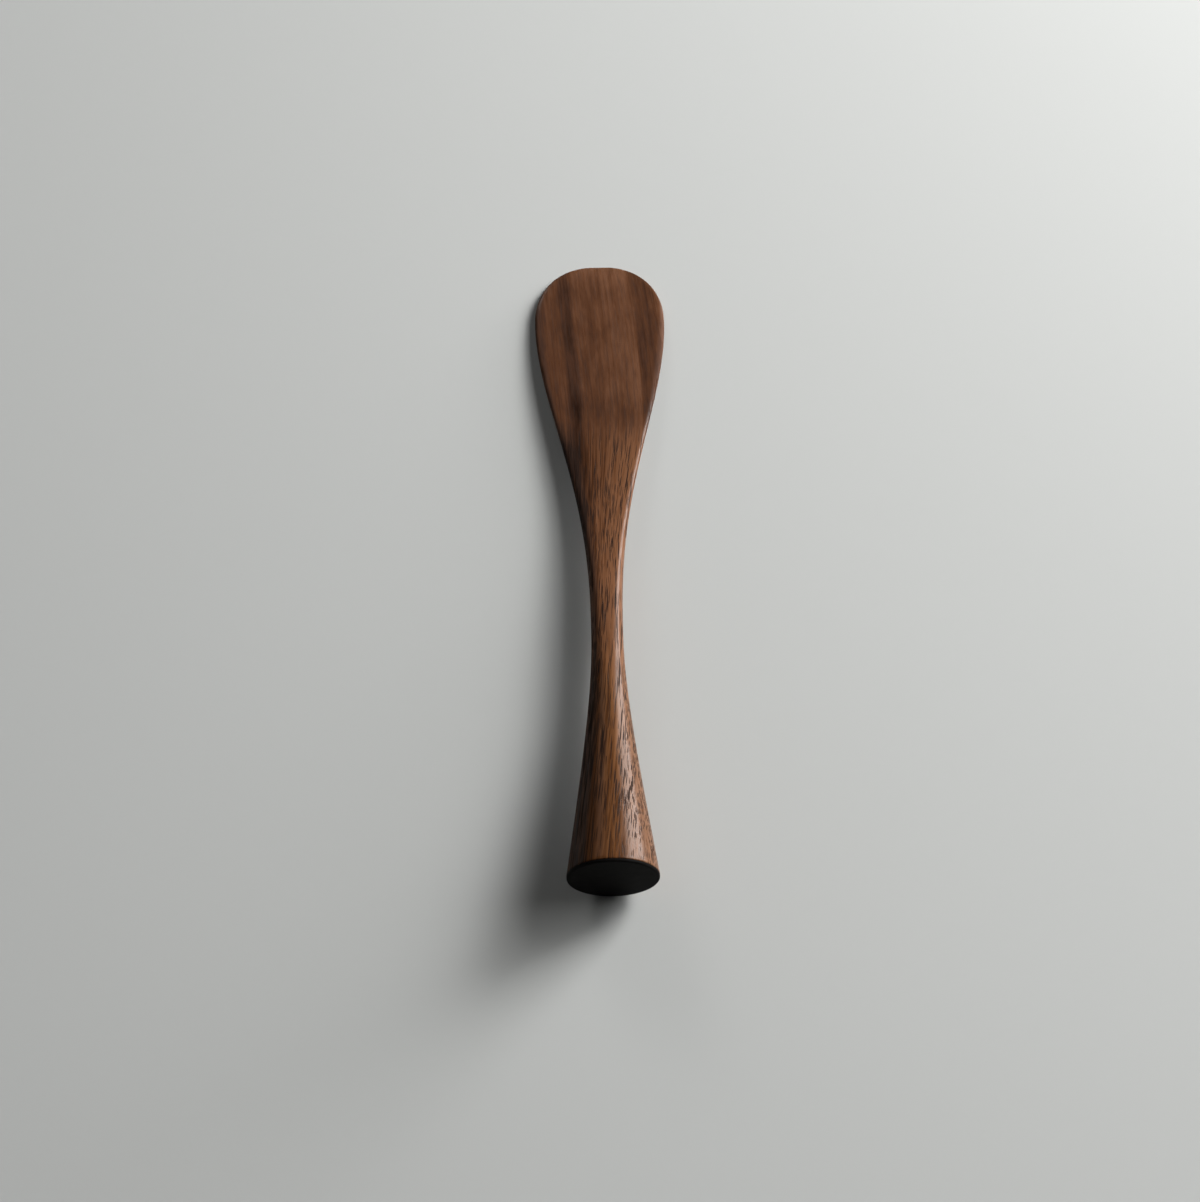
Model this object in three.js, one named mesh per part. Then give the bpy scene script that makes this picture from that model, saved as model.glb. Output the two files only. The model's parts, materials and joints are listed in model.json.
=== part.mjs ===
// A wooden spreader: one length of walnut with a flared round handle, a slim waist and a flat
// paddle blade, and a black end plug glued into the butt, on which it can be stood upright.
// Millimetres, +Z up. It lies as it is put down on a table: the blade near its tip and the rim of
// the butt touch z = 0, +Y runs from butt to tip, and the origin is under the middle of it.

import * as THREE from "three";

// Along the length, from the plug's outer face to the tip of the blade
const overallLength = 165;
const roundFromButt = 40;
const waistFromButt = 56;
const widestFromTip = 18;
const bladeRootFromTip = 61;
const flatFromTip = 45;
const bevelFromTip = 7;

// The handle, which is round up to the neck and squarer there
const rimRadius = 9.3;
const rimArris = 0.2;
const waistRadius = 3.5;

// The blade
const bladeWidth = 32;
const bladeThickness = 2;
const bevelThickness = 1.8;
const tipThickness = 0.7;
const tipRoundOver = 0.6;

// The end plug: a thin head flush with the rim, over the end grain, and a spigot in a socket
const plugHeadThickness = 0.6;
const plugHeadArris = 0.4;
const spigotRadius = 4;
const spigotLength = 6;
const spigotChamfer = 0.6;
const glueLine = 0.3;

// How the curves run
const shoulderEase = 1.27; // over 1 keeps the waist slim for longer before it widens
const tipSquareness = 2.2; // 2 is an ellipse, more is squarer at the corners
const bevelEase = 2; // over 1 lets the bevel start softly
const roundSection = 2; // the section's power where it is round
const flatSection = 32; // and on the blade, where it is flat with eased edges

// How finely the surfaces are cut into facets
const facetsAround = 48;
const handleRings = 16;
const shoulderRings = 26;
const tipRings = 14;
const arrisRings = 3;

const widest = overallLength - widestFromTip;
const bladeRoot = overallLength - bladeRootFromTip;
const flat = overallLength - flatFromTip;
const bevelStart = overallLength - bevelFromTip;
const woodEnd = plugHeadThickness + glueLine;
const rim = woodEnd + rimArris;
const socketRadius = spigotRadius + glueLine;
const spigotEnd = plugHeadThickness + spigotLength;
const socketFloor = spigotEnd + glueLine;

const clamped = (from, to, at) => THREE.MathUtils.clamp((at - from) / (to - from), 0, 1);
const steps = (count) => Array.from({ length: count }, (_, i) => (i + 1) / count);

// Half the width at a station: a hyperbola down the handle, an eased shoulder out to the widest
// place of the blade, and a superellipse round the tip.
function halfWidth(station) {
  if (station < waistFromButt) {
    const flare = Math.sqrt(rimRadius ** 2 - waistRadius ** 2) / (waistFromButt - rim);
    return Math.hypot(waistRadius, flare * (waistFromButt - station));
  }
  if (station < widest) {
    const share = clamped(waistFromButt, widest, station) ** shoulderEase;
    return THREE.MathUtils.lerp(waistRadius, bladeWidth / 2, THREE.MathUtils.smoothstep(share, 0, 1));
  }
  const share = clamped(widest, overallLength, station);
  return (bladeWidth / 2) * (1 - share ** tipSquareness) ** (1 / tipSquareness);
}

// Half the thickness at a station: as the width on the handle, thinning to the root of the blade,
// a slow taper along it, and a bevel to a thin tip, which is rounded over.
function halfThickness(station) {
  if (station < waistFromButt) return halfWidth(station);
  const thinning = THREE.MathUtils.smoothstep(station, waistFromButt, bladeRoot);
  const taper = clamped(bladeRoot, bevelStart, station);
  const bevel = clamped(bevelStart, overallLength, station) ** bevelEase;
  const tapered = THREE.MathUtils.lerp(bladeThickness, bevelThickness, taper);
  const blade = THREE.MathUtils.lerp(tapered, tipThickness, bevel) / 2;
  const roundOver = clamped(overallLength - tipRoundOver, overallLength, station);
  return THREE.MathUtils.lerp(waistRadius, blade, thinning) * Math.sqrt(1 - roundOver ** 2);
}

// The power of the section's curve: round on the handle, squarer at the neck, flat on the blade.
function sectionPower(station) {
  const flattening = clamped(roundFromButt, flat, station);
  return roundSection * (flatSection / roundSection) ** flattening;
}

// One closed ring of points round the axis, in the plane of a station.
function ring(station, halfX, halfZ, power) {
  return Array.from({ length: facetsAround }, (_, i) => {
    const turn = (2 * Math.PI * i) / facetsAround;
    const across = Math.cos(turn);
    const fullness = Math.sqrt(Math.max(0, 1 - Math.abs(across) ** power));
    return new THREE.Vector3(halfX * across, station, halfZ * Math.sign(Math.sin(turn)) * fullness);
  });
}

const onAxis = (station) => new THREE.Vector3(0, station, 0);
const circle = (station, radius) => ring(station, radius, radius, roundSection);
const section = (station) =>
  ring(station, halfWidth(station), halfThickness(station), sectionPower(station));

// A skin over rings of equal count, closed by a fan of triangles to the point at each end.
function loft(startPoint, rings, endPoint) {
  const points = [startPoint, ...rings.flat(), endPoint];
  const at = (row, i) => 1 + row * facetsAround + (i % facetsAround);
  const faces = [];
  for (let i = 0; i < facetsAround; i++) {
    faces.push(0, at(0, i), at(0, i + 1));
    for (let row = 0; row + 1 < rings.length; row++) {
      faces.push(at(row, i), at(row + 1, i), at(row, i + 1));
      faces.push(at(row, i + 1), at(row + 1, i), at(row + 1, i + 1));
    }
    faces.push(at(rings.length - 1, i), points.length - 1, at(rings.length - 1, i + 1));
  }
  const geometry = new THREE.BufferGeometry().setFromPoints(points).setIndex(faces);
  geometry.computeVertexNormals();
  return geometry;
}

// Blade and handle in one piece of walnut: up out of the socket, over the end grain and the eased
// rim, along the handle and the shoulder, and round the tip of the blade.
function walnutBody() {
  const socket = [circle(socketFloor, socketRadius), circle(woodEnd, socketRadius)];
  const easedRim = [0, ...steps(arrisRings)].map((share) => {
    const turn = (share * Math.PI) / 2;
    return circle(
      woodEnd + rimArris * (1 - Math.cos(turn)),
      rimRadius - rimArris * (1 - Math.sin(turn)),
    );
  });
  const handle = steps(handleRings).map((share) => section(rim + share * (waistFromButt - rim)));
  const shoulder = steps(shoulderRings).map((share) =>
    section(waistFromButt + share * (widest - waistFromButt)),
  );
  const tip = steps(tipRings)
    .slice(0, -1)
    .map((share) => section(widest + widestFromTip * Math.sin((share * Math.PI) / 2)));
  const rings = [...socket, ...easedRim, ...handle, ...shoulder, ...tip];
  return loft(onAxis(socketFloor), rings, onAxis(overallLength));
}

// The plug, turned about the spreader's own axis.
function endPlug() {
  const profile = [new THREE.Vector2(0, 0)];
  for (const share of [0, ...steps(arrisRings)]) {
    const turn = (share * Math.PI) / 2;
    profile.push(
      new THREE.Vector2(
        rimRadius - plugHeadArris * (1 - Math.sin(turn)),
        plugHeadArris * (1 - Math.cos(turn)),
      ),
    );
  }
  profile.push(
    new THREE.Vector2(rimRadius, plugHeadThickness),
    new THREE.Vector2(spigotRadius, plugHeadThickness),
    new THREE.Vector2(spigotRadius, spigotEnd - spigotChamfer),
    new THREE.Vector2(spigotRadius - spigotChamfer, spigotEnd),
    new THREE.Vector2(0, spigotEnd),
  );
  return new THREE.LatheGeometry(profile, facetsAround);
}

function piece(name, geometry, color, roughness) {
  const material = new THREE.MeshStandardMaterial({ color, roughness, metalness: 0 });
  const mesh = new THREE.Mesh(geometry, material);
  mesh.name = name;
  return mesh;
}

const body = piece("walnut_body", walnutBody(), "#5d3e2b", 0.5);
const plug = piece("end_plug", endPlug(), "#171514", 0.6);

// The spreader is let down onto the table until the underside of the blade meets the line from
// the lowest point of the rim, then set with the middle of its box over the origin.
const undersideSteps = 400;
const restTilt = steps(undersideSteps)
  .map((share) => THREE.MathUtils.lerp(bladeRoot, overallLength, share))
  .map((station) => Math.atan2(rimRadius - halfThickness(station), station - rim))
  .reduce((least, tilt) => Math.min(least, tilt));

const lying = new THREE.Group();
lying.rotation.x = -restTilt;
lying.add(body, plug);

const spreader = new THREE.Group();
spreader.add(lying);
const box = new THREE.Box3().setFromObject(spreader, true);
const middle = box.getCenter(new THREE.Vector3());
lying.position.set(-middle.x, -middle.y, -box.min.z);

export default spreader;
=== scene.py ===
import json
import math

import bmesh
import bpy
from mathutils import Matrix, Vector


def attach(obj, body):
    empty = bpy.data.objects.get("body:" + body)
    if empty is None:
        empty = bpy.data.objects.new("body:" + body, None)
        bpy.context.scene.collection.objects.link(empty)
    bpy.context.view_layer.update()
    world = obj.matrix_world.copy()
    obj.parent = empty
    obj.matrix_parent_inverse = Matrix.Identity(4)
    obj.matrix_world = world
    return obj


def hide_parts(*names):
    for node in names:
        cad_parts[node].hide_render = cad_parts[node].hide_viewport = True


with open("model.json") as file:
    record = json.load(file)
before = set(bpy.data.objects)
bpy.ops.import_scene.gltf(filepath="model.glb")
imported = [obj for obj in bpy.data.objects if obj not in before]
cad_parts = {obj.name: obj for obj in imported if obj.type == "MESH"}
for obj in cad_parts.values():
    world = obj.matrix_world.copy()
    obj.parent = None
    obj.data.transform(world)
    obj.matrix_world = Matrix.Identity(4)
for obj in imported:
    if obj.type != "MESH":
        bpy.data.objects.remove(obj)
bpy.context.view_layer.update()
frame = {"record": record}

scene = bpy.context.scene
scene.view_settings.view_transform = "Standard"
mm = 0.001

# The spreader lies a little nose down, so its own axis is taken from the mount on its butt.
# Pieces are modelled in mm with +Y along that axis from the butt's face, then laid down.
buttMount = frame["record"]["mounts"][0]
buttPoint = Vector(buttMount["pos_m"])
acrossAxis = Vector((1, 0, 0))
lengthAxis = -Vector(buttMount["axis"]).normalized()
upAxis = acrossAxis.cross(lengthAxis)
layTurn = Matrix((acrossAxis, lengthAxis, upAxis)).transposed().to_4x4()
layDown = Matrix.Translation(buttPoint) @ layTurn @ Matrix.Scale(mm, 4)
print("frame loaded, lying at", round(math.degrees(math.asin(-lengthAxis.z)), 3), "degrees")


def feed(tree, socket, value):
    if isinstance(value, bpy.types.NodeSocket):
        tree.links.new(value, socket)
    else:
        socket.default_value = value


def maths(tree, operation, *values):
    node = tree.nodes.new("ShaderNodeMath")
    node.operation = operation
    for socket, value in zip(node.inputs, values):
        feed(tree, socket, value)
    return node.outputs[0]


def ranged(tree, value, fromMin, fromMax, toMin=0.0, toMax=1.0, kind="SMOOTHSTEP"):
    node = tree.nodes.new("ShaderNodeMapRange")
    node.interpolation_type = kind
    for socket, number in zip(node.inputs, (value, fromMin, fromMax, toMin, toMax)):
        feed(tree, socket, number)
    return node.outputs["Result"]


def stretched(tree, vector, scale):
    node = tree.nodes.new("ShaderNodeVectorMath")
    node.operation = "MULTIPLY"
    feed(tree, node.inputs[0], vector)
    node.inputs[1].default_value = scale
    return node.outputs[0]


def noise(tree, vector, scale, detail=2.0, rough=0.5):
    node = tree.nodes.new("ShaderNodeTexNoise")
    node.inputs["Scale"].default_value = 1.0
    node.inputs["Detail"].default_value = detail
    node.inputs["Roughness"].default_value = rough
    feed(tree, node.inputs["Vector"], stretched(tree, vector, scale))
    return node.outputs["Fac"]


def ramp(tree, value, stops, kind="LINEAR"):
    node = tree.nodes.new("ShaderNodeValToRGB")
    node.color_ramp.interpolation = kind
    while len(node.color_ramp.elements) < len(stops):
        node.color_ramp.elements.new(0.5)
    for element, (place, colour) in zip(node.color_ramp.elements, stops):
        element.position = place
        element.color = (*colour, 1) if isinstance(colour, tuple) else (colour, colour, colour, 1)
    feed(tree, node.inputs["Fac"], value)
    return node.outputs["Color"]


def tinted(tree, amount, first, second, kind="MIX"):
    node = tree.nodes.new("ShaderNodeMix")
    node.data_type = "RGBA"
    node.blend_type = kind
    feed(tree, node.inputs[0], amount)
    feed(tree, node.inputs[6], first)
    feed(tree, node.inputs[7], second)
    return node.outputs[2]


def pores(tree, vector, cell, seed):
    node = tree.nodes.new("ShaderNodeTexVoronoi")
    node.inputs["Scale"].default_value = 1.0
    shifted = tree.nodes.new("ShaderNodeVectorMath")
    feed(tree, shifted.inputs[0], stretched(tree, vector, tuple(1 / size for size in cell)))
    shifted.inputs[1].default_value = (seed, seed * 1.7, seed * 0.6)  # so that sets of pores differ
    feed(tree, node.inputs["Vector"], shifted.outputs[0])
    red = tree.nodes.new("ShaderNodeSeparateColor")
    feed(tree, red.inputs[0], node.outputs["Color"])
    return node.outputs["Distance"], red.outputs[0]


def newMaterial(name):
    material = bpy.data.materials.new(name)
    material.use_nodes = True
    tree = material.node_tree
    return material, tree, tree.nodes["Principled BSDF"]


def grainSpace(tree, station):
    # Object coordinates turned to the spreader's own axis, in mm, with 0 at a station on it
    coords = tree.nodes.new("ShaderNodeTexCoord")
    mapping = tree.nodes.new("ShaderNodeMapping")
    turnBack = layTurn.transposed()
    mapping.inputs["Scale"].default_value = (1 / mm, 1 / mm, 1 / mm)
    mapping.inputs["Rotation"].default_value = turnBack.to_euler()
    mapping.inputs["Location"].default_value = -(turnBack @ (buttPoint / mm)) - Vector((0, station, 0))
    tree.links.new(coords.outputs["Object"], mapping.inputs["Vector"])
    return mapping.outputs["Vector"]


# Camera
viewpoint = {
    "place": (-3.182, -184.274, 306.431),  # mm
    "lookDown": 60.917,
    "turnRight": 0.608,
    "roll": -0.554,
    "lens": 46.81,
    "sensor": 36.0,
}


def addCamera():
    data = bpy.data.cameras.new("photoCamera")
    data.lens, data.sensor_width = viewpoint["lens"], viewpoint["sensor"]
    data.clip_start, data.clip_end = 0.01, 20
    camera = bpy.data.objects.new("photoCamera", data)
    scene.collection.objects.link(camera)
    camera.matrix_world = (
        Matrix.Translation(Vector(viewpoint["place"]) * mm)
        @ Matrix.Rotation(math.radians(-viewpoint["turnRight"]), 4, "Z")
        @ Matrix.Rotation(math.radians(90 - viewpoint["lookDown"]), 4, "X")
        @ Matrix.Rotation(math.radians(viewpoint["roll"]), 4, "Z")
    )
    scene.camera = camera


addCamera()
print("camera set")

# Floor and light: soft upright windows behind on the right, and a dim room
studio = {
    "floorRadius": 4.0,
    "floorColour": (0.59, 0.60, 0.585),
    "floorRoughness": 0.9,
    "floorSpecular": 0.2,
    "windowDistance": 0.95,  # m
    "windows": (  # name, bearing from +X, bottom, top and width in m, watts
        ("lowPane", 35.0, 0.008, 0.166, 0.42, 4.7),
        ("middlePane", 35.0, 0.166, 0.384, 0.42, 3.3),
        ("mainPane", 35.0, 0.384, 0.689, 0.42, 10.4),
        ("highPane", 35.0, 0.689, 1.219, 0.42, 6.7),
        ("sideWindow", 10.0, 0.384, 1.219, 0.42, 4.8),
        ("farWindow", 115.0, 0.384, 0.689, 0.42, 1.8),
    ),
    "roomGrey": (0.02, 0.02, 0.02),
    "horizonGrey": (0.03, 0.03, 0.03),
    "horizonHeights": (0.05, 0.35),  # where the room's grey changes
}


def addFloor():
    mesh = bmesh.new()
    bmesh.ops.create_circle(
        mesh, cap_ends=True, cap_tris=True, segments=64, radius=studio["floorRadius"]
    )
    floor = meshObject("floor", mesh)
    material, tree, shader = newMaterial("paleFloor")
    shader.inputs["Base Color"].default_value = (*studio["floorColour"], 1)
    shader.inputs["Roughness"].default_value = studio["floorRoughness"]
    shader.inputs["Specular IOR Level"].default_value = studio["floorSpecular"]
    floor.data.materials.append(material)


def addLight():
    for name, bearing, bottom, top, width, watts in studio["windows"]:
        data = bpy.data.lights.new(name, "AREA")
        data.shape = "RECTANGLE"
        data.size, data.size_y = width, top - bottom
        data.energy = watts
        window = bpy.data.objects.new(name, data)
        window.visible_camera = False
        scene.collection.objects.link(window)
        turn = Matrix.Rotation(math.radians(bearing), 3, "Z")
        outward = turn @ Vector((studio["windowDistance"], 0, 0))
        facing = (-outward).to_track_quat("-Z", "Y").to_matrix().to_4x4()  # upright, as a window is
        middle = outward + Vector((0, 0, (bottom + top) / 2))
        window.matrix_world = Matrix.Translation(middle) @ facing
    scene.world = bpy.data.worlds.new("room")
    scene.world.use_nodes = True
    tree = scene.world.node_tree
    direction = tree.nodes.new("ShaderNodeTexCoord")
    parts = tree.nodes.new("ShaderNodeSeparateXYZ")
    tree.links.new(direction.outputs["Generated"], parts.inputs[0])
    above = ranged(tree, maths(tree, "ABSOLUTE", parts.outputs["Z"]), *studio["horizonHeights"])
    room = tinted(tree, above, (*studio["horizonGrey"], 1), (*studio["roomGrey"], 1))
    tree.links.new(room, tree.nodes["Background"].inputs["Color"])


def meshObject(name, mesh, sharpAngle=None):
    data = bpy.data.meshes.new(name)
    mesh.to_mesh(data)
    mesh.free()
    piece = bpy.data.objects.new(name, data)
    scene.collection.objects.link(piece)
    if sharpAngle is not None:
        data.shade_smooth()
        data.set_sharp_from_angle(angle=math.radians(sharpAngle))
    return piece


addFloor()
addLight()
print("floor and light set")

# Walnut body: blade, neck and handle in one. Stations are mm from the butt's face.
body = {
    "length": 165.0,
    "roundTo": 40.0,
    "waist": 56.0,
    "bladeRoot": 104.0,
    "flatFrom": 120.0,
    "widest": 147.0,
    "rimRadius": 9.3,
    "rimArris": 0.2,
    "waistRadius": 3.5,
    "bladeWidth": 32.0,
    "bladeThickness": 2.0,
    "bevelStart": 158.0,
    "bevelThickness": 1.8,
    "tipThickness": 0.7,
    "tipRoundOver": 0.6,
    "shoulderEase": 1.27,
    "tipSquareness": 2.2,
    "bevelEase": 2.0,
    "flatSection": 32.0,
    "woodEnd": 0.64,
    "socketRadius": 4.3,
    "socketFloor": 6.9,
    "sandedOff": 0.015,  # keeps the mesh inside the CAD
    "sharpAngle": 40.0,
    "spokes": 112,
    "arrisRings": 5,
    "handleRings": 90,
    "shoulderRings": 130,
    "tipRings": 84,
}


def share(start, end, at):
    return min(1.0, max(0.0, (at - start) / (end - start)))


def eased(value):
    return value * value * (3 - 2 * value)


def halfWidth(station):
    rim = body["woodEnd"] + body["rimArris"]
    if station < body["waist"]:
        flare = math.sqrt(body["rimRadius"] ** 2 - body["waistRadius"] ** 2) / (body["waist"] - rim)
        return math.hypot(body["waistRadius"], flare * (body["waist"] - station))
    if station < body["widest"]:
        widening = eased(share(body["waist"], body["widest"], station) ** body["shoulderEase"])
        return body["waistRadius"] + (body["bladeWidth"] / 2 - body["waistRadius"]) * widening
    ending = share(body["widest"], body["length"], station)
    return body["bladeWidth"] / 2 * (1 - ending ** body["tipSquareness"]) ** (1 / body["tipSquareness"])


def halfThickness(station):
    if station < body["waist"]:
        return halfWidth(station)
    thinning = eased(share(body["waist"], body["bladeRoot"], station))
    taper = share(body["bladeRoot"], body["bevelStart"], station)
    tapered = body["bladeThickness"] + (body["bevelThickness"] - body["bladeThickness"]) * taper
    bevel = share(body["bevelStart"], body["length"], station) ** body["bevelEase"]
    blade = (tapered + (body["tipThickness"] - tapered) * bevel) / 2
    overTip = share(body["length"] - body["tipRoundOver"], body["length"], station)
    return (body["waistRadius"] + (blade - body["waistRadius"]) * thinning) * math.sqrt(1 - overTip**2)


def sectionPoint(station, turn):
    # Round on the handle, squarer at the neck, flat with eased edges on the blade
    power = 2 * (body["flatSection"] / 2) ** share(body["roundTo"], body["flatFrom"], station)
    across = math.cos(turn)
    fullness = math.copysign(math.sqrt(max(0.0, 1 - abs(across) ** power)), math.sin(turn))
    wide = max(0.0, halfWidth(station) - body["sandedOff"])
    thick = max(0.0, halfThickness(station) - body["sandedOff"])
    return Vector((wide * across, station, thick * fullness))


def circlePoint(station, radius, turn):
    return Vector((radius * math.cos(turn), station, radius * math.sin(turn)))


def growRing(mesh, edges, turnLayer, place):
    grown = bmesh.ops.extrude_edge_only(mesh, edges=edges)["geom"]
    verts = {item for item in grown if isinstance(item, bmesh.types.BMVert)}
    for vert in verts:
        vert.co = place(vert[turnLayer])
    return [
        item for item in grown
        if isinstance(item, bmesh.types.BMEdge) and item.verts[0] in verts and item.verts[1] in verts
    ]


def makeBody():
    mesh = bmesh.new()
    floorTurn = Matrix.Translation((0, body["socketFloor"], 0)) @ Matrix.Rotation(math.pi / 2, 4, "X")
    socket = body["socketRadius"]
    bmesh.ops.create_circle(
        mesh, cap_ends=True, cap_tris=True, segments=body["spokes"], radius=socket, matrix=floorTurn
    )
    turnLayer = mesh.verts.layers.float.new("turn")
    for vert in mesh.verts:
        vert[turnLayer] = math.atan2(vert.co.z, vert.co.x)
    ring = [edge for edge in mesh.edges if edge.is_boundary]

    # up the socket, across the end grain and over the eased rim
    arris = body["rimArris"]
    woodEnd = body["woodEnd"]
    outer = body["rimRadius"] - body["sandedOff"]
    ring = growRing(mesh, ring, turnLayer, lambda turn: circlePoint(woodEnd, socket, turn))
    ring = growRing(mesh, ring, turnLayer, lambda turn: circlePoint(woodEnd, outer - 2 * arris, turn))
    for step in range(body["arrisRings"] + 1):
        bend = math.pi / 2 * step / body["arrisRings"]
        station = woodEnd + arris * (1 - math.cos(bend))
        radius = outer - arris * (1 - math.sin(bend))
        ring = growRing(mesh, ring, turnLayer, lambda turn: circlePoint(station, radius, turn))

    # along the handle and the shoulder, and round the tip
    rim = woodEnd + arris
    tip = Vector((0, body["length"] - body["sandedOff"], 0))
    handle = body["waist"] - rim
    shoulder = body["widest"] - body["waist"]
    ending = tip.y - body["widest"]
    stations = []
    for i in range(body["handleRings"]):
        stations.append(rim + handle * (i + 1) / body["handleRings"])
    for i in range(body["shoulderRings"]):
        stations.append(body["waist"] + shoulder * (i + 1) / body["shoulderRings"])
    for i in range(1, body["tipRings"]):
        stations.append(body["widest"] + ending * math.sin(math.pi / 2 * i / body["tipRings"]))
    for station in stations:
        ring = growRing(mesh, ring, turnLayer, lambda turn: sectionPoint(station, turn))
    ring = growRing(mesh, ring, turnLayer, lambda turn: tip)
    lastVerts = list({vert for edge in ring for vert in edge.verts})
    bmesh.ops.pointmerge(mesh, verts=lastVerts, merge_co=tip)
    mesh.verts.layers.float.remove(turnLayer)
    bmesh.ops.recalc_face_normals(mesh, faces=mesh.faces)
    bmesh.ops.transform(mesh, matrix=layDown, verts=mesh.verts)
    return meshObject("walnutBody", mesh, sharpAngle=body["sharpAngle"])


# Walnut. Pairs are of a place and an amount: a station, mm across the growth layers from the grain's
# middle line, or a share of the half width.
walnut = {
    "anchor": 140.0,  # station that the grain is measured from
    "sweep": (  # how far the grain is pushed aside, mm
        (0, 7.9), (15, 6.4), (30, 4.9), (45, 3.4), (60, 2.2), (80, 0.7), (95, -0.45), (108, -1.35),
        (116, -1.5), (125, -1.05), (140, 0.0), (165, 1.95),
    ),
    "gather": (  # how closely the layers lie
        (0, 1.1), (20, 1.12), (40, 1.3), (56, 1.45), (80, 1.5), (95, 1.28), (110, 1.06), (120, 1.0),
        (165, 1.0),
    ),
    "ringTilt": 0.12,
    "follow": 0.075,  # how far the fibres dip with the top of the handle
    "wander": 0.6,  # mm
    "wanderRate": (0.06, 0.011, 0.06),
    "wanderRise": 0.6,
    "bladeFrom": (104.0, 116.0),  # stations between which the blade's grain takes over
    "handleTo": (35.0, 60.0),
    # tone across the blade: streak bands of the wood, with painted shade at its left edge and painted
    # light at its right edge
    "bladeStreaksAndEdgeShading": (
        (-16, 0.56), (-14, 0.76), (-12, 0.98), (-9.4, 1.05), (-8.2, 0.5), (-7.2, 0.3), (-6.3, 0.6),
        (-5, 0.99), (0, 1.14), (5, 1.16), (8.2, 1.52), (9.2, 0.86), (11.5, 0.83), (14, 1.0), (16, 1.3),
    ),
    # tone across neck and handle: streak bands of the wood, lighter towards the right of the handle as
    # painted light
    "handleStreaksAndLitSide": (
        (-16, 0.5), (-9.5, 0.5), (-8.2, 0.42), (-7.2, 0.4), (-6.3, 0.5), (-5, 0.75), (-3.5, 0.92),
        (-2, 1.0), (0, 1.04), (2, 1.08), (5, 1.12), (8, 1.12), (12, 1.1),
    ),
    "streakSpan": 40.0,  # mm that the streaks are spread over
    "paintedSideShading": (  # painted shade on the left of neck and handle, painted light on their right
        (-1, -0.44), (-0.75, -0.42), (-0.3, -0.04), (0.1, 0.03), (0.5, 0.23), (1, 0.29),
    ),
    "sideStations": (0, 8, 16, 24, 32, 40, 48, 56, 64, 72, 80, 90, 100, 110, 120, 147),
    "curl": (  # bands across the blade
        (104, 1.0), (111, 1.1), (118, 0.82), (125.3, 1.1), (131.3, 0.94), (138, 1.06), (141.8, 0.92),
        (150, 1.08), (156, 0.96), (162, 1.1),
    ),
    "curlRate": (0.14, 0.05, 0.14),
    "curlWave": 0.05,  # share of the length
    "curlReach": (5.0, 13.0),
    "curlLeft": 0.25,
    "lineRate": (0.35, 0.02, 0.35),
    "lineWaver": 2.2,
    "linesPerMm": 0.55,
    "lineTones": (0.04, -0.05),
    "fibres": (  # rate across and along, strength on the handle and on the blade
        (0.5, 0.018, 0.3, 0.26), (1.0, 0.03, 0.3, 0.18), (0.6, 0.16, 0.0, 0.34), (1.6, 0.35, 0.2, 0.25),
        (2.0, 0.06, 0.8, 0.12),
    ),
    # slow changes of tone along the body; the rise at the tip is painted light on its bevel
    "lengthToneAndTipLight": (
        (0, 0.02), (25, 0.08), (45, 0.21), (58, 0.34), (66, 0.3), (78, 0.22), (96, 0.14), (106, 0.11),
        (117, -0.03), (128, 0.0), (155, 0.02), (165, 0.15),
    ),
    "dark": (0.0195, 0.0072, 0.003),
    "middle": (0.0935, 0.0362, 0.0152),
    "light": (0.20, 0.086, 0.040),
    "bladeTint": (1.0, 1.03, 1.14),
    "streakTint": (0.97, 1.06, 1.36),  # where the blade is dark
    "streakTones": (0.3, 0.5),
    "handleTint": (0.98, 0.94, 0.72),
    "paintedSheenTint": (1.02, 1.12, 1.24),  # painted sheen on the right of the handle
    # shares of the width over which the painted sheen takes over
    "paintedSheenSides": (0.5, 0.9),
    "pores": (  # cell in mm, seed, how rare, and how far it is filled
        ((0.38, 12.0, 0.54), 3.1, 0.56, 0.46),
        ((0.28, 8.0, 0.42), 7.7, 0.5, 0.46),
        ((0.22, 6.0, 0.32), 5.3, 0.5, 0.5),
    ),
    "poreSpread": (0.7, 1.1),
    "poreSpreadRate": (0.5, 0.03, 0.5),
    "poreSize": (
        (0, 0.95), (12, 1.02), (25, 1.1), (45, 1.08), (60, 0.94), (75, 0.9), (85, 0.9), (104, 0.88),
        (165, 0.7),
    ),
    "poreDepth": (
        (0, 0.78), (15, 0.86), (40, 0.92), (60, 0.95), (80, 0.95), (104, 0.9), (116, 0.3), (165, 0.2),
    ),
    "poreRim": (-0.02, 0.06),
    "grooveRim": (-0.12, 0.12),
    "poreColour": (0.011, 0.0035, 0.0012),
    "roughness": 0.29,
    "roughFibres": 0.2,
    "roughPores": 0.4,
    "dullSide": 0.35,  # on the left of neck and handle
    "dullSides": (0.05, 0.25),
    "dullEdge": 0.4,  # along the edges of the blade
    "dullEdgeFrom": (112.0, 126.0),
    "edgeSides": (0.45, 0.49),
    "edgeTip": (163.8, 164.4),
    "specular": 0.13,
    "relief": 0.0001,  # m
    "fibreHeight": 0.15,
    "grooveHeight": 0.07,
    "bladeHeight": 0.3,
}


def alongBody(tree, station, points, low, high):
    # a smooth curve through pairs of station and amount
    node = tree.nodes.new("ShaderNodeFloatCurve")
    curve = node.mapping.curves[0]
    for i, (at, amount) in enumerate(points):
        spot = (at / body["length"], (amount - low) / (high - low))
        if i == 0:
            curve.points[0].location = spot
        elif i == len(points) - 1:
            curve.points[len(curve.points) - 1].location = spot
        else:
            curve.points.new(*spot)
    node.mapping.update()
    tree.links.new(station, node.inputs["Value"])
    return maths(tree, "MULTIPLY_ADD", node.outputs[0], high - low, low)


def betweenStations(tree, lengthwise, stations, toMin=0.0, toMax=1.0):
    start, end = (at - walnut["anchor"] for at in stations)
    return ranged(tree, lengthwise, start, end, toMin, toMax)


def opaque(colour):
    return (*colour, 1)


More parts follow.
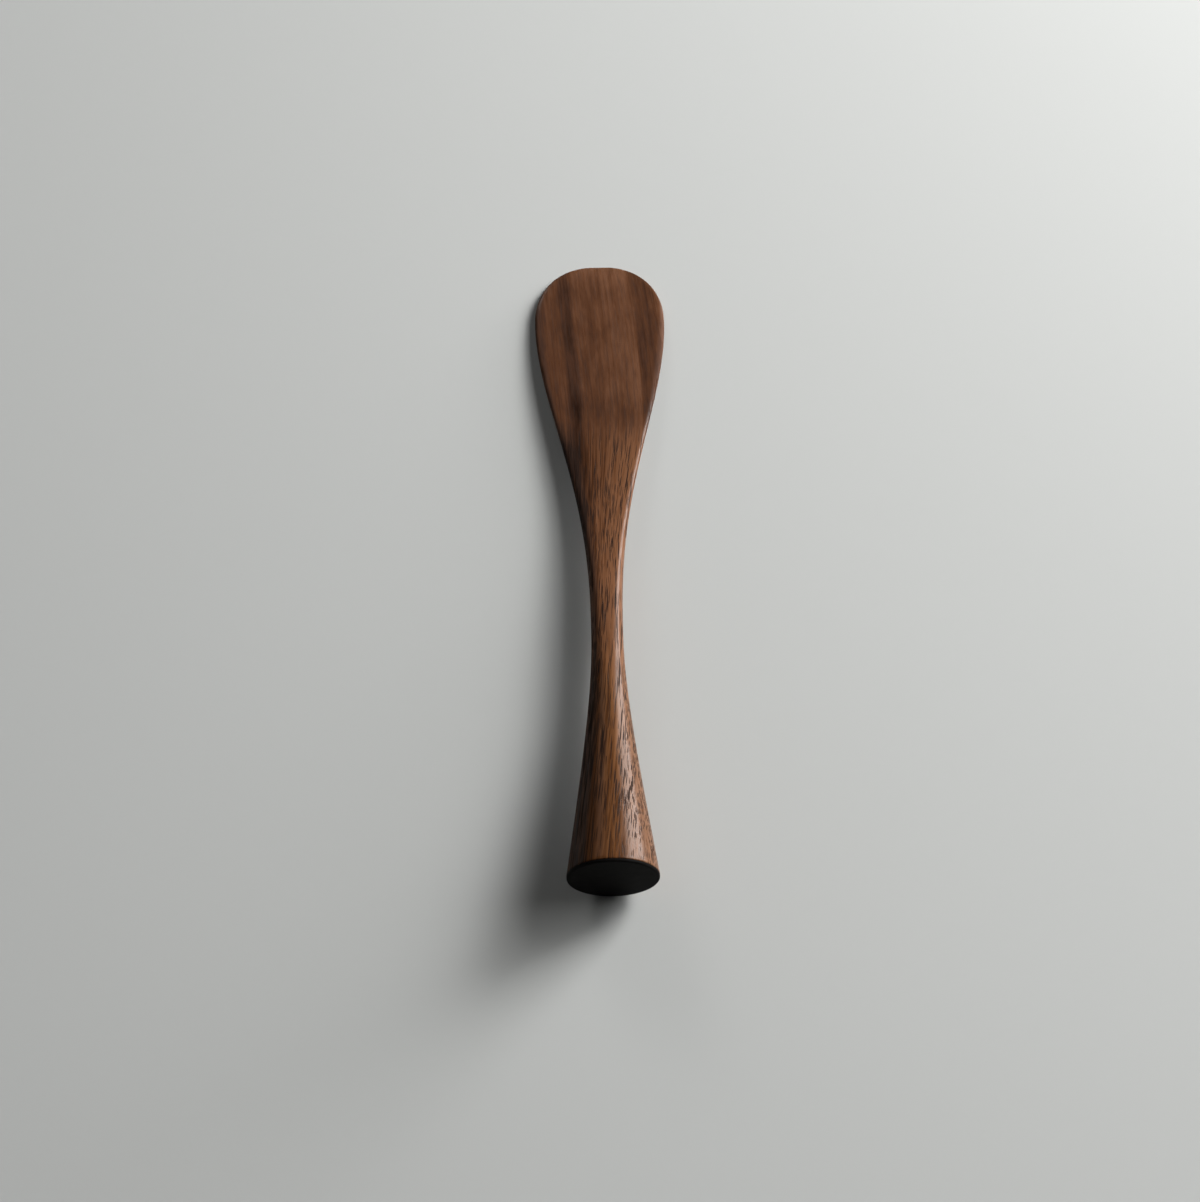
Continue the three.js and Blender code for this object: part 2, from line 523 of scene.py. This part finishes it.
def walnutMaterial():
    material, tree, shader = newMaterial("oiledWalnut")
    space = grainSpace(tree, walnut["anchor"])
    parts = tree.nodes.new("ShaderNodeSeparateXYZ")
    tree.links.new(space, parts.inputs[0])
    across, lengthwise, depth = parts.outputs
    toTip = body["length"] - walnut["anchor"]
    station = ranged(tree, lengthwise, -walnut["anchor"], toTip, kind="LINEAR")
    onBlade = betweenStations(tree, lengthwise, walnut["bladeFrom"])
    offBlade = maths(tree, "SUBTRACT", 1.0, onBlade)
    onHandle = betweenStations(tree, lengthwise, walnut["handleTo"], 1.0, 0.0)

    # from 0 on the left edge to 1 on the right
    halfWidths = [(at, halfWidth(at)) for at in walnut["sideStations"]]
    wide = alongBody(tree, station, halfWidths, 0, 20)
    side = maths(tree, "MULTIPLY_ADD", maths(tree, "DIVIDE", across, wide), 0.5, 0.5)

    # the grain sweeps aside along the body, and its layers lie closer in the neck
    aside = alongBody(tree, station, walnut["sweep"], -10, 10)
    gather = alongBody(tree, station, walnut["gather"], 0, 2)
    wander = noise(tree, space, walnut["wanderRate"], 1.5)
    wander = maths(tree, "MULTIPLY_ADD", wander, 2 * walnut["wander"], -walnut["wander"])
    tilted = maths(tree, "MULTIPLY_ADD", depth, walnut["ringTilt"], across)
    layer = maths(tree, "ADD", maths(tree, "MULTIPLY_ADD", tilted, gather, aside), wander)
    beforeWaist = maths(tree, "SUBTRACT", body["waist"] - walnut["anchor"], lengthwise)
    beforeWaist = maths(tree, "MAXIMUM", beforeWaist, 0.0)
    rising = maths(tree, "MULTIPLY_ADD", beforeWaist, -walnut["follow"], depth)
    rising = maths(tree, "MULTIPLY_ADD", wander, walnut["wanderRise"], rising)
    fibre = tree.nodes.new("ShaderNodeCombineXYZ")
    for socket, value in zip(fibre.inputs, (layer, lengthwise, rising)):
        tree.links.new(value, socket)
    fibre = fibre.outputs[0]

    # tone: broad streak bands, growth lines, fibres, curl across the blade and slow changes; painted
    # light and shade at the blade's edges, across neck and handle and at the tip
    span = walnut["streakSpan"]
    place = maths(tree, "MULTIPLY_ADD", layer, 1 / span, 0.5)
    streakAndShadingTones = [
        ramp(tree, place, [(0.5 + at / span, amount / 2) for at, amount in walnut[name]])
        for name in ("handleStreaksAndLitSide", "bladeStreaksAndEdgeShading")
    ]
    tone = tinted(tree, onBlade, *streakAndShadingTones)
    lines = maths(tree, "MULTIPLY", layer, walnut["linesPerMm"])
    waver = noise(tree, fibre, walnut["lineRate"], 1.0)
    lines = maths(tree, "FRACT", maths(tree, "MULTIPLY_ADD", waver, walnut["lineWaver"], lines))
    added = [ranged(tree, lines, 0.0, 1.0, *walnut["lineTones"], kind="LINEAR")]
    for acrossRate, alongRate, strength, bladeStrength in walnut["fibres"]:
        fine = noise(tree, fibre, (acrossRate, alongRate, acrossRate), 1.0)
        fine = maths(tree, "SUBTRACT", fine, 0.5)
        amount = ranged(tree, onBlade, 0.0, 1.0, strength, bladeStrength, kind="LINEAR")
        added.append(maths(tree, "MULTIPLY", fine, amount))
    waved = noise(tree, space, walnut["curlRate"], 2.0)
    waved = maths(tree, "MULTIPLY_ADD", waved, walnut["curlWave"], -walnut["curlWave"] / 2)
    bands = [(at / body["length"], amount / 2) for at, amount in walnut["curl"]]
    curl = ramp(tree, maths(tree, "ADD", station, waved), bands)
    fromMiddle = maths(tree, "ABSOLUTE", layer)
    curled = ranged(tree, fromMiddle, *walnut["curlReach"], 1.0, walnut["curlLeft"])
    added.append(maths(tree, "MULTIPLY", maths(tree, "SUBTRACT", curl, 0.5), curled))
    # slow changes along the body, with painted light at the tip
    added.append(alongBody(tree, station, walnut["lengthToneAndTipLight"], -0.5, 0.5))
    # painted shade on the left of neck and handle and painted light on their right, off the blade
    paintedSideShading = ramp(tree, side, [(0.5 + at / 2, 0.5 + amount) for at, amount in walnut["paintedSideShading"]])
    added.append(maths(tree, "MULTIPLY", maths(tree, "SUBTRACT", paintedSideShading, 0.5), offBlade))
    for part in added:
        tone = maths(tree, "ADD", tone, part)

    # colour
    wood = ramp(tree, tone, [(0.0, walnut["dark"]), (0.5, walnut["middle"]), (1.0, walnut["light"])])
    paler = ranged(tree, tone, *walnut["streakTones"])
    tint = tinted(tree, paler, opaque(walnut["streakTint"]), opaque(walnut["bladeTint"]))
    wood = tinted(tree, onBlade, wood, tint, "MULTIPLY")
    # handle colour, greyer and paler towards the right as a painted sheen
    paler = ranged(tree, side, *walnut["paintedSheenSides"])
    tint = tinted(tree, paler, opaque(walnut["handleTint"]), opaque(walnut["paintedSheenTint"]))
    wood = tinted(tree, onHandle, wood, tint, "MULTIPLY")

    # open pores: thin tubes along the fibres, which the surface cuts into dashes
    spread = noise(tree, fibre, walnut["poreSpreadRate"], 2.0)
    thicker = ranged(tree, spread, 0.35, 0.65, *walnut["poreSpread"])
    poreSize = alongBody(tree, station, walnut["poreSize"], 0, 1.2)
    thicker = maths(tree, "MULTIPLY", thicker, poreSize)
    pore, groove = 0.0, 0.0
    for cell, seed, rare, most in walnut["pores"]:
        distance, chance = pores(tree, fibre, cell, seed)
        reach = ranged(tree, chance, rare, rare + 0.2, -0.2, most, kind="LINEAR")
        inside = maths(tree, "SUBTRACT", maths(tree, "MULTIPLY", reach, thicker), distance)
        pore = maths(tree, "MAXIMUM", pore, ranged(tree, inside, *walnut["poreRim"]))
        groove = maths(tree, "MAXIMUM", groove, ranged(tree, inside, *walnut["grooveRim"]))
    poreDepth = alongBody(tree, station, walnut["poreDepth"], 0, 1)
    shown = maths(tree, "MULTIPLY", pore, poreDepth)
    wood = tinted(tree, shown, wood, opaque(walnut["poreColour"]))
    tree.links.new(wood, shader.inputs["Base Color"])

    # satin oil finish, duller in the pores, on the left of the handle and at the blade's edges
    rough = maths(tree, "MULTIPLY_ADD", fine, walnut["roughFibres"], walnut["roughness"])
    rough = maths(tree, "MULTIPLY_ADD", pore, walnut["roughPores"], rough)
    dull = ranged(tree, side, *walnut["dullSides"], walnut["dullSide"], 0.0)
    rough = maths(tree, "MULTIPLY_ADD", dull, offBlade, rough)
    offCentre = maths(tree, "ABSOLUTE", maths(tree, "SUBTRACT", side, 0.5))
    atEdge = ranged(tree, offCentre, *walnut["edgeSides"])
    atTip = betweenStations(tree, lengthwise, walnut["edgeTip"])
    atEdge = maths(tree, "MAXIMUM", atEdge, atTip)
    dull = betweenStations(tree, lengthwise, walnut["dullEdgeFrom"], 0.0, walnut["dullEdge"])
    rough = maths(tree, "MULTIPLY_ADD", atEdge, dull, rough)
    tree.links.new(rough, shader.inputs["Roughness"])
    shader.inputs["Specular IOR Level"].default_value = walnut["specular"]

    # fine relief
    height = maths(tree, "MULTIPLY", fine, walnut["fibreHeight"])
    height = maths(tree, "MULTIPLY_ADD", groove, -walnut["grooveHeight"], height)
    lower = ranged(tree, onBlade, 0.0, 1.0, 1.0, walnut["bladeHeight"], kind="LINEAR")
    bump = tree.nodes.new("ShaderNodeBump")
    bump.inputs["Distance"].default_value = walnut["relief"]
    tree.links.new(maths(tree, "MULTIPLY", height, lower), bump.inputs["Height"])
    tree.links.new(bump.outputs[0], shader.inputs["Normal"])
    return material


walnutBody = makeBody()
walnutBody.data.materials.append(walnutMaterial())
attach(walnutBody, "root")
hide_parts("walnut_body")
print("walnut body made,", len(walnutBody.data.polygons), "faces")

# Black end plug: a thin head flush with the rim, and a spigot in the socket
plug = {
    "radius": 9.285,
    "head": 0.6,
    "arris": 0.4,
    "spigotRadius": 4.0,
    "spigotEnd": 6.6,
    "spigotChamfer": 0.6,
    "steps": 112,
    "arrisSegments": 5,
    "sharpAngle": 40.0,
    "colour": (0.0052, 0.0047, 0.0044),
    "vein": (0.0092, 0.0083, 0.0078),
    "cloudRate": (0.35, 0.05, 0.6),
    "cloudShare": 0.6,
    "fleckRate": (6.0, 0.4, 6.0),
    "fleckShare": 0.4,
    "veinTones": (0.35, 0.65),
    "roughness": 0.5,
    "roughFlecks": 0.2,
    "specular": 0.03,
    "relief": 0.00003,  # m
}


def onCircle(vert, radius, station):
    return abs(vert.co.y - station) < 0.001 and abs(math.hypot(vert.co.x, vert.co.z) - radius) < 0.01


def makePlug():
    mesh = bmesh.new()
    radius, head = plug["radius"], plug["head"]
    spigot, end = plug["spigotRadius"], plug["spigotEnd"]
    outline = [
        (0, 0), (radius - 1.5 * plug["arris"], 0), (radius, 0), (radius, head),
        (spigot, head), (spigot, end), (0, end),
    ]
    verts = [mesh.verts.new((out, station, 0)) for out, station in outline]
    edges = [mesh.edges.new(pair) for pair in zip(verts, verts[1:])]
    bmesh.ops.spin(
        mesh, geom=verts + edges, cent=(0, 0, 0), axis=(0, 1, 0), angle=2 * math.pi,
        steps=plug["steps"], use_merge=True,
    )
    bmesh.ops.remove_doubles(mesh, verts=mesh.verts, dist=0.001)
    bmesh.ops.recalc_face_normals(mesh, faces=mesh.faces)
    for out, station, width, segments in (
        (radius, 0, plug["arris"], plug["arrisSegments"]),
        (spigot, end, plug["spigotChamfer"], 1),
    ):
        corner = [edge for edge in mesh.edges if all(onCircle(vert, out, station) for vert in edge.verts)]
        bmesh.ops.bevel(
            mesh, geom=corner, offset=width, affect="EDGES", segments=segments, profile=0.5, material=-1
        )
    bmesh.ops.transform(mesh, matrix=layDown, verts=mesh.verts)
    return meshObject("endPlug", mesh, sharpAngle=plug["sharpAngle"])


def blackwoodMaterial():
    material, tree, shader = newMaterial("blackwood")
    space = grainSpace(tree, 0.0)
    cloud = noise(tree, space, plug["cloudRate"], 3.0, 0.6)
    fleck = noise(tree, space, plug["fleckRate"], 3.0, 0.7)
    tone = maths(tree, "MULTIPLY", cloud, plug["cloudShare"])
    tone = maths(tree, "MULTIPLY_ADD", fleck, plug["fleckShare"], tone)
    veined = ranged(tree, tone, *plug["veinTones"])
    wood = tinted(tree, veined, opaque(plug["colour"]), opaque(plug["vein"]))
    tree.links.new(wood, shader.inputs["Base Color"])
    rough = maths(tree, "MULTIPLY_ADD", fleck, plug["roughFlecks"], plug["roughness"])
    tree.links.new(rough, shader.inputs["Roughness"])
    shader.inputs["Specular IOR Level"].default_value = plug["specular"]
    bump = tree.nodes.new("ShaderNodeBump")
    bump.inputs["Distance"].default_value = plug["relief"]
    tree.links.new(fleck, bump.inputs["Height"])
    tree.links.new(bump.outputs[0], shader.inputs["Normal"])
    return material


endPlug = makePlug()
endPlug.data.materials.append(blackwoodMaterial())
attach(endPlug, "root")
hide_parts("end_plug")
print("end plug made,", len(endPlug.data.polygons), "faces")
